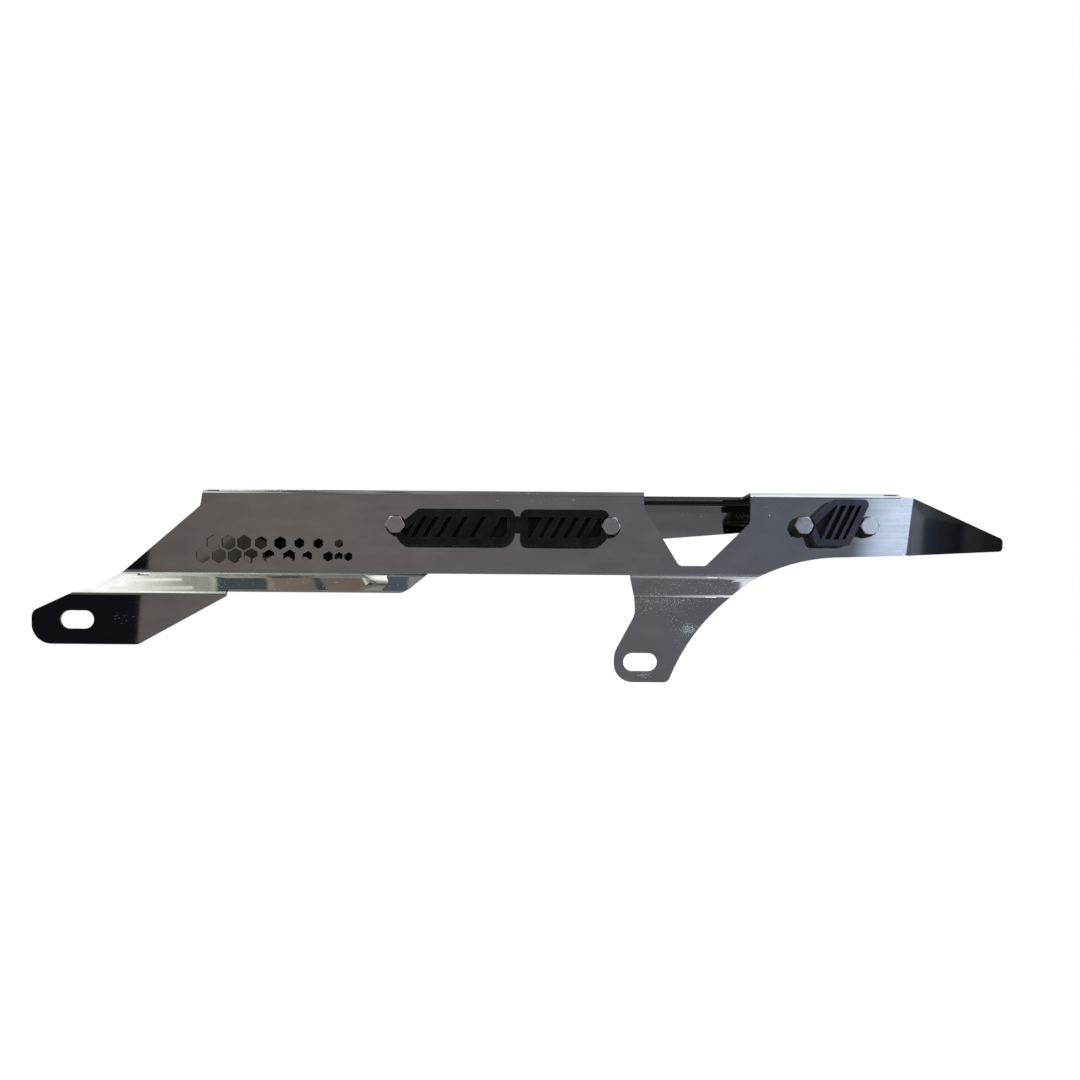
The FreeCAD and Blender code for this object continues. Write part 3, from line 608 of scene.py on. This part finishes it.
def bolt_shape(length):
    """A hexagon bolt along Y, whose head's outer face lies at zero."""
    bm = bmesh.new()
    crown = ring_of(bm, 6 * HEXAGON_STEPS, CROWN * FLATS / 2, 0)
    closed_ring(bm, crown)
    side = drawn_out(bm, crown, to_hexagon(0, 1))
    under = drawn_out(bm, side, to_plane(HEAD_HEIGHT))
    shank = drawn_out(bm, under, to_radius(SHANK_RADIUS, HEAD_HEIGHT))
    shank = drawn_out(bm, shank, to_plane(HEAD_HEIGHT + PLAIN_SHANK))
    root = SHANK_RADIUS - THREAD_DEPTH
    core = drawn_out(bm, shank, to_radius(root, HEAD_HEIGHT + PLAIN_SHANK + THREAD_DEPTH))
    core = drawn_out(bm, core, to_plane(length - THREAD_DEPTH / 2))
    tip = drawn_out(bm, core, to_radius(root - THREAD_DEPTH / 2, length))
    closed_ring(bm, tip)
    threaded = length - HEAD_HEIGHT - PLAIN_SHANK - THREAD_PITCH
    helical_ridge(bm, HEAD_HEIGHT + PLAIN_SHANK, threaded)
    return bm


def nut_shape(height):
    """A hexagon nut along Y, chamfered on both faces, whose outer face lies at zero."""
    bm = bmesh.new()
    steps = 6 * HEXAGON_STEPS
    crown = ring_of(bm, steps, CROWN * FLATS / 2, 0)
    side = drawn_out(bm, crown, to_hexagon(0, 1))
    far_side = drawn_out(bm, side, to_hexagon(height, -1))
    far_crown = drawn_out(bm, far_side, to_radius(CROWN * FLATS / 2, height))
    mouth = SHANK_RADIUS + THREAD_DEPTH
    bore = SHANK_RADIUS + BORE_PLAY
    far_mouth = drawn_out(bm, far_crown, to_radius(mouth, height))
    far_bore = drawn_out(bm, far_mouth, to_radius(bore, height - THREAD_DEPTH))
    near_bore = drawn_out(bm, far_bore, to_plane(THREAD_DEPTH))
    near_mouth = drawn_out(bm, near_bore, to_radius(mouth, 0))
    drawn_out(bm, near_mouth, to_radius(CROWN * FLATS / 2, 0))
    return bm


def settled(bm, place):
    """Moves a shape to its place, merges its doubles and turns its faces outwards."""
    bmesh.ops.translate(bm, verts=bm.verts, vec=place)
    bmesh.ops.remove_doubles(bm, verts=bm.verts, dist=2 * MERGE_WITHIN)
    bmesh.ops.recalc_face_normals(bm, faces=bm.faces)
    return bm


def fine_grain_group():
    """A fine, even grain over a whole surface, to raise it a little."""
    group, start, end = new_group(
        "Fine grain",
        (
            ("Position", "NodeSocketVector", (0, 0, 0)),
            ("Scale", "NodeSocketVector", (2500, 2500, 2500)),
            ("Detail", "NodeSocketFloat", 2.0),
        ),
        ("Height",),
    )
    asked = start.outputs
    grain = noise(group, asked["Position"], asked["Scale"], asked["Detail"])
    group.links.new(grain, end.inputs["Height"])
    return group


fine_grain = fine_grain_group()


def screw_steel():
    """Cold-formed stainless steel, a little blotchy and less bright than the sheet."""
    base = colour(206, 201, 197)
    material, tree, shader, place = new_material(
        "formed_stainless", base, metallic=1.0, roughness=0.22
    )
    uneven = placed(
        tree, uneven_surface, Position=place, Scale=(350, 350, 350), Darkest=0.92, Lightest=1.04
    )
    shade = mixed(tree, 1.0, base, uneven.outputs["Tone"], "MULTIPLY")
    roughness = ranged(tree, uneven.outputs["Patches"], 0.3, 0.7, 0.18, 0.27)
    grain = placed(tree, fine_grain, Position=place).outputs["Height"]
    relief = bumped(tree, grain, strength=0.08, distance=0.02 * MM)
    tree.links.new(shade, shader.inputs["Base Color"])
    tree.links.new(roughness, shader.inputs["Roughness"])
    tree.links.new(relief, shader.inputs["Normal"])
    return material


formed_steel = screw_steel()


def node_axis(node):
    """The middle of a node along X and Z, at its near end along Y, and its length."""
    low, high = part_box(node)
    return Vector(((low[0] + high[0]) / 2, low[1], (low[2] + high[2]) / 2)), high[1] - low[1]


for badge_bolt in BADGE_BOLTS:
    place, length = node_axis(badge_bolt + "_bolt")
    bolt = settled(bolt_shape(length), place)
    finished_piece(
        bolt, badge_bolt + "_screw", formed_steel, badge_bolt + "_bolt"
    )
    place, height = node_axis(badge_bolt + "_nut")
    nut = settled(nut_shape(height), place)
    finished_piece(
        nut, badge_bolt + "_hex_nut", formed_steel, badge_bolt + "_nut"
    )
    washer = merged_copy(badge_bolt + "_washer")
    break_edges(washer, WASHER_EDGE, CUT_EDGE_ANGLE, 2)
    finished_piece(
        washer, badge_bolt + "_ring", formed_steel, badge_bolt + "_washer"
    )

# The badges. Each is two layers cut from black plastic sheet, a base with an ear under each
# bolt head and a raised face with slanted bars, with slightly rounded upper edges.
FACE_EDGE = 0.35 * MM
BASE_EDGE = 0.2 * MM
PLASTIC_ROUGHNESS = 0.4
PLASTIC_SHINE = 0.22


def black_plastic(name, base, worn_tone):
    """Black plastic with a fine grain, dull patches and paler, rubbed edges."""
    material, tree, shader, place = new_material(name, base, 0.0, PLASTIC_ROUGHNESS)
    shader.inputs["Specular IOR Level"].default_value = PLASTIC_SHINE
    patches = placed(
        tree, uneven_surface, Position=place, Scale=(150, 150, 150), Detail=4.0, Roughness=0.6
    ).outputs["Patches"]
    shade = mixed(tree, ranged(tree, patches, 0.4, 0.7, 0.0, 0.2), base, worn_tone)
    edge = add_node(tree, "ShaderNodeAttribute", attribute_name="edge").outputs["Fac"]
    pale_edge_share = placed(tree, pale_edges, Edge=edge, Patches=patches).outputs["Mask"]
    roughness = ranged(
        tree, patches, 0.3, 0.7, PLASTIC_ROUGHNESS - 0.06, PLASTIC_ROUGHNESS + 0.08
    )
    grain = placed(
        tree, fine_grain, Position=place, Scale=(2600, 2600, 2600), Detail=1.0
    ).outputs["Height"]
    relief = bumped(tree, grain, strength=0.2, distance=0.03 * MM)
    tree.links.new(mixed(tree, pale_edge_share, shade, worn_tone), shader.inputs["Base Color"])
    tree.links.new(roughness, shader.inputs["Roughness"])
    tree.links.new(relief, shader.inputs["Normal"])
    return material


# For each layer: its node, its slot, its colour, the colour of its rubbed edges, their width
BADGE_PIECES = (
    ("long_badge_base", "badge_base_black", (9, 9, 11), (34, 34, 35), BASE_EDGE),
    ("long_badge_face", "badge_face_black", (9, 10, 14), (46, 48, 52), FACE_EDGE),
    ("short_badge_base", "badge_base_black", (34, 31, 26), (62, 58, 48), BASE_EDGE),
    ("short_badge_face", "badge_face_black", (43, 48, 61), (84, 90, 106), FACE_EDGE),
)
for node, slot, tone, worn_tone, edge in BADGE_PIECES:
    plate = merged_copy(node)
    break_edges(plate, edge, CUT_EDGE_ANGLE, 2)
    plastic = black_plastic(node + "_plastic", colour(*tone), colour(*worn_tone))
    finished_piece(plate, node + "_plate", plastic, node)

# The stage. A pale floor some way below the guard, in a white world, with one soft lamp
# above. Glowing cards that only mirror rays see stand for the room that the steel shows.
FLOOR_Z = -150 * MM
FLOOR_SIDE = 12.0
FLOOR_GLOW = 0.35
WORLD_SEEN = 1.0
WORLD_LIGHT = 0.85
SOFTBOX_PLACE = (0.2, -0.25, 1.0)
SOFTBOX_TILT = math.radians(14)
SOFTBOX_POWER = 4.0
ROOM_FRONT = -1.2
ROOM_BACK = 1.6
ROOM_TOP = 1.2
ROOM_LEFT = -1.6
ROOM_RIGHT = 1.2
ROOM_WIDTH = 3.6
CARD_STRENGTH = 2.0


def stage_plane(name, corner, across, up):
    """A rectangle from a corner along two sides, with object coordinates along both."""
    bm = bmesh.new()
    bmesh.ops.create_grid(bm, x_segments=1, y_segments=1, size=0.5)
    bmesh.ops.translate(bm, verts=bm.verts, vec=(0.5, 0.5, 0))
    bmesh.ops.scale(bm, verts=bm.verts, vec=(Vector(across).length, Vector(up).length, 1))
    mesh = bpy.data.meshes.new(name)
    bm.to_mesh(mesh)
    bm.free()
    plane = bpy.data.objects.new(name, mesh)
    bpy.context.scene.collection.objects.link(plane)
    x_way = Vector(across).normalized()
    y_way = Vector(up).normalized()
    turn = Matrix((x_way, y_way, x_way.cross(y_way))).transposed().to_4x4()
    plane.matrix_world = Matrix.Translation(corner) @ turn
    return plane


def shown(red, green, blue):
    """The colour that a card glows with, at its strength, for the steel to show this one."""
    glow = [c / s / CARD_STRENGTH for c, s in zip(colour(red, green, blue)[:3], STEEL)]
    return (*glow, 1.0)


def card(name, corner, across, up, zones):
    """A card, from a corner along two sides in metres, that glows for mirror rays only.

    Its zones run along the first side. Each is a distance in metres, and the colour that the
    steel is to show there.
    """
    plane = stage_plane(name, corner, across, up)
    plane.visible_camera = False
    plane.visible_diffuse = False
    plane.visible_shadow = False
    material = bpy.data.materials.new(name)
    material.use_nodes = True
    tree = material.node_tree
    tree.nodes.clear()
    along = add_node(tree, "ShaderNodeSeparateXYZ")
    tree.links.new(add_node(tree, "ShaderNodeTexCoord").outputs["Object"], along.inputs[0])
    length = Vector(across).length
    ramp = add_node(tree, "ShaderNodeValToRGB")
    stops = ramp.color_ramp.elements
    while len(stops) < len(zones):
        stops.new(1.0)
    for stop, (where, tone) in zip(stops, zones):
        stop.position = where / length
        stop.color = shown(*tone)
    tree.links.new(maths(tree, "DIVIDE", along.outputs["X"], length), ramp.inputs["Fac"])
    glow = add_node(tree, "ShaderNodeEmission", {"Strength": CARD_STRENGTH})
    tree.links.new(ramp.outputs["Color"], glow.inputs["Color"])
    end = add_node(tree, "ShaderNodeOutputMaterial")
    tree.links.new(glow.outputs[0], end.inputs["Surface"])
    plane.data.materials.append(material)
    return plane


def plain_card(name, corner, across, up, tone):
    """A card that glows in one colour."""
    return card(name, corner, across, up, ((0.0, tone), (Vector(across).length, tone)))


def background_rays(tree):
    """One for camera, mirror and glass rays, and zero for the rest."""
    path = add_node(tree, "ShaderNodeLightPath")
    seen = maths(tree, "MAXIMUM", path.outputs["Is Camera Ray"], path.outputs["Is Glossy Ray"])
    return maths(tree, "MAXIMUM", seen, path.outputs["Is Transmission Ray"])


floor = stage_plane(
    "floor", (-FLOOR_SIDE / 2, -FLOOR_SIDE / 2, FLOOR_Z), (FLOOR_SIDE, 0, 0), (0, FLOOR_SIDE, 0)
)
floor_material, floor_tree, floor_shader, _ = new_material(
    "pale_floor", (0.8, 0.8, 0.8, 1), metallic=0.0, roughness=0.9
)
floor_shader.inputs["Specular IOR Level"].default_value = 0.0
floor_shader.inputs["Emission Color"].default_value = (1, 1, 1, 1)
floor_tree.links.new(
    maths(floor_tree, "MULTIPLY", background_rays(floor_tree), FLOOR_GLOW),
    floor_shader.inputs["Emission Strength"],
)
floor.data.materials.append(floor_material)

world = bpy.data.worlds.new("studio")
bpy.context.scene.world = world
world.use_nodes = True
world_tree = world.node_tree
background = world_tree.nodes["Background"]
background.inputs["Color"].default_value = (1, 1, 1, 1)
world_strength = maths(
    world_tree, "MULTIPLY_ADD", background_rays(world_tree), WORLD_SEEN - WORLD_LIGHT, WORLD_LIGHT
)
world_tree.links.new(world_strength, background.inputs["Strength"])

softbox = bpy.data.lights.new("softbox", "AREA")
softbox.shape = "RECTANGLE"
softbox.size = 1.2
softbox.size_y = 0.5
softbox.energy = SOFTBOX_POWER
softbox_object = bpy.data.objects.new("softbox", softbox)
softbox_object.location = SOFTBOX_PLACE
softbox_object.rotation_euler = (SOFTBOX_TILT, 0, 0)
softbox_object.visible_glossy = False
bpy.context.scene.collection.objects.link(softbox_object)

# In front: a warm grey room that turns cooler to the right, and a bright window there
card(
    "room_front", (ROOM_LEFT, ROOM_FRONT, -1.0), (ROOM_WIDTH, 0, 0), (0, 0, 2.2),
    (
        (0.0, (96, 90, 86)),
        (1.1, (91, 85, 82)),
        (1.22, (92, 87, 84)),
        (1.34, (99, 93, 89)),
        (1.41, (99, 93, 89)),
        (1.75, (94, 90, 90)),
        (2.0, (91, 89, 93)),
        (2.3, (85, 89, 98)),
        (2.44, (88, 92, 101)),
        (2.48, (205, 220, 245)),
        (3.6, (205, 220, 245)),
    ),
)
plain_card(
    "dark_post", (-1.651, ROOM_FRONT + 0.01, -0.86), (1.12, 0, -0.0747), (0.0747, 0, 1.12),
    (14, 16, 20),
)
plain_card(
    "room_rail", (ROOM_LEFT, ROOM_FRONT + 0.01, 0.64), (ROOM_WIDTH, 0, 0), (0, 0, 0.56),
    (84, 82, 79),
)
plain_card(
    "room_shelf", (0.3, ROOM_FRONT + 0.015, 0.45), (0.6, 0, 0), (0, 0, 0.19), (81, 80, 85)
)
plain_card(
    "dark_corner", (ROOM_LEFT, ROOM_FRONT + 0.015, 0.8), (0.65, 0, 0), (0, 0, 0.4), (22, 22, 23)
)

# Above: a band of shelves and lamps that the slanted strip shows, in front of a pale ceiling.
# The beams are zones that two parts of the ceiling share, in metres from the room's left.
CEILING_BEAMS = (
    (1.35, (140, 138, 132)),
    (1.37, (132, 130, 124)),
    (1.38, (76, 74, 70)),
    (1.425, (80, 78, 74)),
    (1.44, (100, 98, 94)),
    (1.475, (126, 124, 121)),
    (1.62, (126, 124, 122)),
    (1.66, (118, 116, 116)),
    (1.73, (98, 97, 99)),
    (1.9, (94, 93, 98)),
    (2.04, (106, 106, 111)),
)
card(
    "ceiling_ahead", (ROOM_LEFT, ROOM_FRONT, ROOM_TOP), (ROOM_WIDTH, 0, 0), (0, 1.23, 0),
    (
        (0.0, (250, 252, 250)),
        (1.12, (244, 246, 242)),
        (1.2, (205, 207, 196)),
        (1.27, (158, 159, 148)),
        *CEILING_BEAMS,
        (2.1, (110, 110, 116)),
        (2.26, (235, 241, 250)),
        (3.6, (235, 241, 250)),
    ),
)
card(
    "ceiling_shelves", (-0.6, 0.03, ROOM_TOP), (1.3, 0, 0), (0, 0.08, 0),
    (
        (0.0, (253, 253, 252)),
        (0.105, (252, 253, 250)),
        (0.15, (198, 207, 195)),
        (0.22, (138, 139, 126)),
        (0.263, (138, 138, 126)),
        (0.267, (196, 200, 180)),
        (0.272, (63, 68, 69)),
        (0.362, (63, 68, 69)),
        (0.368, (140, 140, 132)),
        (0.376, (109, 102, 93)),
        (0.545, (99, 92, 84)),
        (0.62, (98, 92, 86)),
        (0.98, (92, 91, 95)),
        (1.213, (91, 91, 97)),
        (1.22, (215, 225, 236)),
        (1.3, (235, 240, 245)),
    ),
)
card(
    "toe_shade", (-0.5797, 0.0576, ROOM_TOP - 0.0025), (0.0077, -0.0163, 0), (0.078, 0.037, 0),
    ((0.0, (140, 136, 128)), (0.009, (205, 204, 198)), (0.018, (253, 253, 252))),
)
plain_card(
    "lamp_streak", (-0.52, 0.0745, ROOM_TOP - 0.002), (0.13, 0.003, 0), (-0.0001, 0.0045, 0),
    (250, 252, 240),
)
plain_card(
    "window_streak", (-0.52, 0.0535, ROOM_TOP - 0.002), (0.15, 0.002, 0), (-0.0001, 0.006, 0),
    (226, 229, 214),
)
plain_card(
    "leaning_post", (-0.139, 0.047, ROOM_TOP - 0.002), (0.0125, 0.0072, 0), (-0.0125, 0.0217, 0),
    (58, 63, 62),
)
plain_card(
    "lamp_glint", (-0.046, 0.047, ROOM_TOP - 0.002), (0.005, 0.003, 0), (-0.0105, 0.018, 0),
    (228, 232, 205),
)
plain_card(
    "lamp_haze", (-0.056, 0.05, ROOM_TOP - 0.001), (0.03, 0, 0), (0, 0.022, 0), (150, 152, 142)
)
plain_card(
    "blue_frame", (-0.052, -1.1, ROOM_TOP - 0.002), (0.078, 0, 0), (0, 1.2, 0), (124, 126, 124)
)
plain_card(
    "blue_pane", (-0.038, -0.8, ROOM_TOP - 0.003), (0.052, 0, 0), (0, 0.9, 0), (74, 80, 88)
)
card(
    "ceiling_behind", (ROOM_LEFT, 0.11, ROOM_TOP), (ROOM_WIDTH, 0, 0), (0, 1.49, 0),
    (
        (0.0, (235, 236, 234)),
        (1.33, (235, 236, 234)),
        *CEILING_BEAMS,
        (2.1, (110, 110, 116)),
        (2.26, (198, 207, 222)),
        (3.6, (202, 212, 228)),
    ),
)

# Right, behind and below: a dark doorway that the tail shows, a grey wall and a dark bench
card(
    "doorway", (ROOM_RIGHT, -1.0, -0.14), (0, 1.4, 0), (0, 0, 1.0),
    (
        (0.0, (95, 99, 110)),
        (0.60, (91, 97, 108)),
        (0.6255, (80, 84, 95)),
        (0.6265, (44, 48, 57)),
        (0.634, (35, 40, 48)),
        (0.65, (28, 30, 36)),
        (0.668, (24, 26, 31)),
        (0.6695, (15, 16, 22)),
        (0.678, (18, 19, 24)),
        (0.6795, (30, 31, 35)),
        (0.687, (38, 38, 39)),
        (0.7, (36, 36, 36)),
        (0.712, (25, 25, 26)),
        (0.722, (28, 27, 28)),
        (1.4, (14, 14, 15)),
    ),
)
card(
    "doorway_lintel", (ROOM_RIGHT - 0.005, -0.371, 0.1075), (0.0, 0.158, -0.032), (0, 0.032, 0.158),
    (
        (0.0, (61, 62, 68)),
        (0.008, (56, 57, 59)),
        (0.02, (46, 46, 46)),
        (0.05, (36, 36, 35)),
        (0.16, (28, 27, 26)),
    ),
)
plain_card(
    "lintel_corner", (ROOM_RIGHT - 0.004, -0.371, 0.1075), (0, -0.05, 0.05), (0, 0.05, 0.05),
    (62, 63, 69),
)
plain_card(
    "grey_wall", (ROOM_LEFT, ROOM_BACK, -0.14), (ROOM_WIDTH, 0, 0), (0, 0, 0.5), (122, 120, 114)
)
card(
    "grey_wall_top", (ROOM_LEFT, ROOM_BACK, 0.36), (ROOM_WIDTH, 0, 0), (0, 0, 0.84),
    ((0.0, (92, 90, 85)), (1.11, (86, 83, 78)), (1.15, (62, 60, 56)), (3.6, (58, 56, 53))),
)
plain_card("dark_bench", (-0.6, -1.1, FLOOR_Z + 0.01), (1.8, 0, 0), (0, 1.4, 0), (34, 34, 36))
plain_card("dark_stool", (0.36, 0.3, FLOOR_Z + 0.01), (0.5, 0, 0), (0, 0.6, 0), (26, 25, 24))
plain_card(
    "wall_sheen", (-0.6, ROOM_BACK - 0.005, 0.455), (0.23, 0, 0.193), (-0.193, 0, 0.23),
    (132, 125, 120),
)
plain_card(
    "bench_edge", (0.3, -0.62, FLOOR_Z + 0.012), (0.17, 0, 0), (0, 0.2, 0), (102, 101, 104)
)
plain_card(
    "bench_light", (-0.1, -0.16, FLOOR_Z + 0.012), (0.4, 0, 0), (0, 0.2, 0), (108, 106, 101)
)

# The camera stands close in front of the outer wall, level with the tab, and its frame is
# shifted so that the guard lies a little below the middle.
CAMERA_PLACE = Vector((203.06, -417.5, -4.77)) * MM
CAMERA_LENS = 29.65
CAMERA_SHIFT = (0.0269, 0.0861)
CAMERA_ROLL = -0.00785

camera_data = bpy.data.cameras.new("camera")
camera_data.lens = CAMERA_LENS
camera_data.sensor_width = 36.0
camera_data.shift_x, camera_data.shift_y = CAMERA_SHIFT
camera_data.clip_start = 10 * MM
camera_data.clip_end = 20.0
camera = bpy.data.objects.new("camera", camera_data)
camera.location = CAMERA_PLACE
camera.rotation_euler = (math.radians(90), CAMERA_ROLL, 0)
bpy.context.scene.collection.objects.link(camera)
bpy.context.scene.camera = camera

bpy.context.scene.view_settings.view_transform = "Standard"
